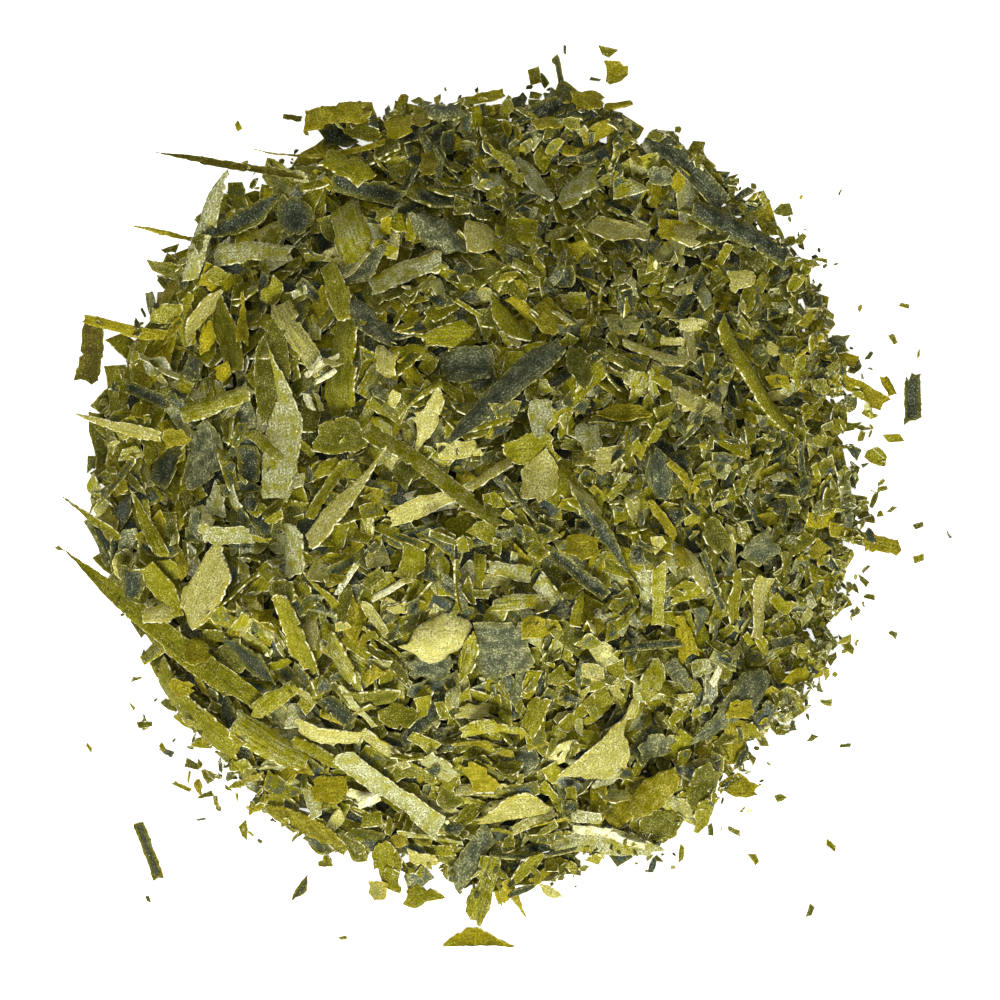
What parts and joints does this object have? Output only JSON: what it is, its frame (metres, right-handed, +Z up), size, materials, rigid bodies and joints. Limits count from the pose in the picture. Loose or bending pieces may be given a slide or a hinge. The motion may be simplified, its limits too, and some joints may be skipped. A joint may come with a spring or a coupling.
{
  "type": "heap of dried kelp flakes",
  "caption": "Loose round heap of dried kelp: thin ragged chips, leaves and long blades piled in a low mound, with some flakes lying apart round its foot.",
  "frame": {"origin": "centre of the heap and its stray flakes, seen from above, on the surface they lie on", "axes": "+Z up, +Y towards the top of the view from above, +X to its right"},
  "size_m": [0.0872, 0.09, 0.0176],
  "materials": {
    "olive_kelp": "dry and matt, with a fine pale bloom",
    "dark_kelp": "dry and matt, speckled with pale bloom",
    "mustard_kelp": "dry, slightly see-through at thin edges",
    "pale_kelp": "dry and chalky"
  },
  "bodies": {
    "root": {"kelp_heap": "olive_kelp", "stray_dark_flake": "dark_kelp", "stray_olive_strip": "mustard_kelp", "stray_boat_leaf": "mustard_kelp", "stray_dark_strip": "dark_kelp", "stray_top_chip": "mustard_kelp", "stray_top_strip": "dark_kelp", "stray_left_strip": "olive_kelp", "stray_left_chip": "mustard_kelp", "stray_yellow_chip": "pale_kelp", "stray_drop_chip": "dark_kelp", "stray_tailed_chip": "olive_kelp", "stray_pale_chip": "pale_kelp", "stray_right_chip": "olive_kelp"}
  },
  "joints": []
}
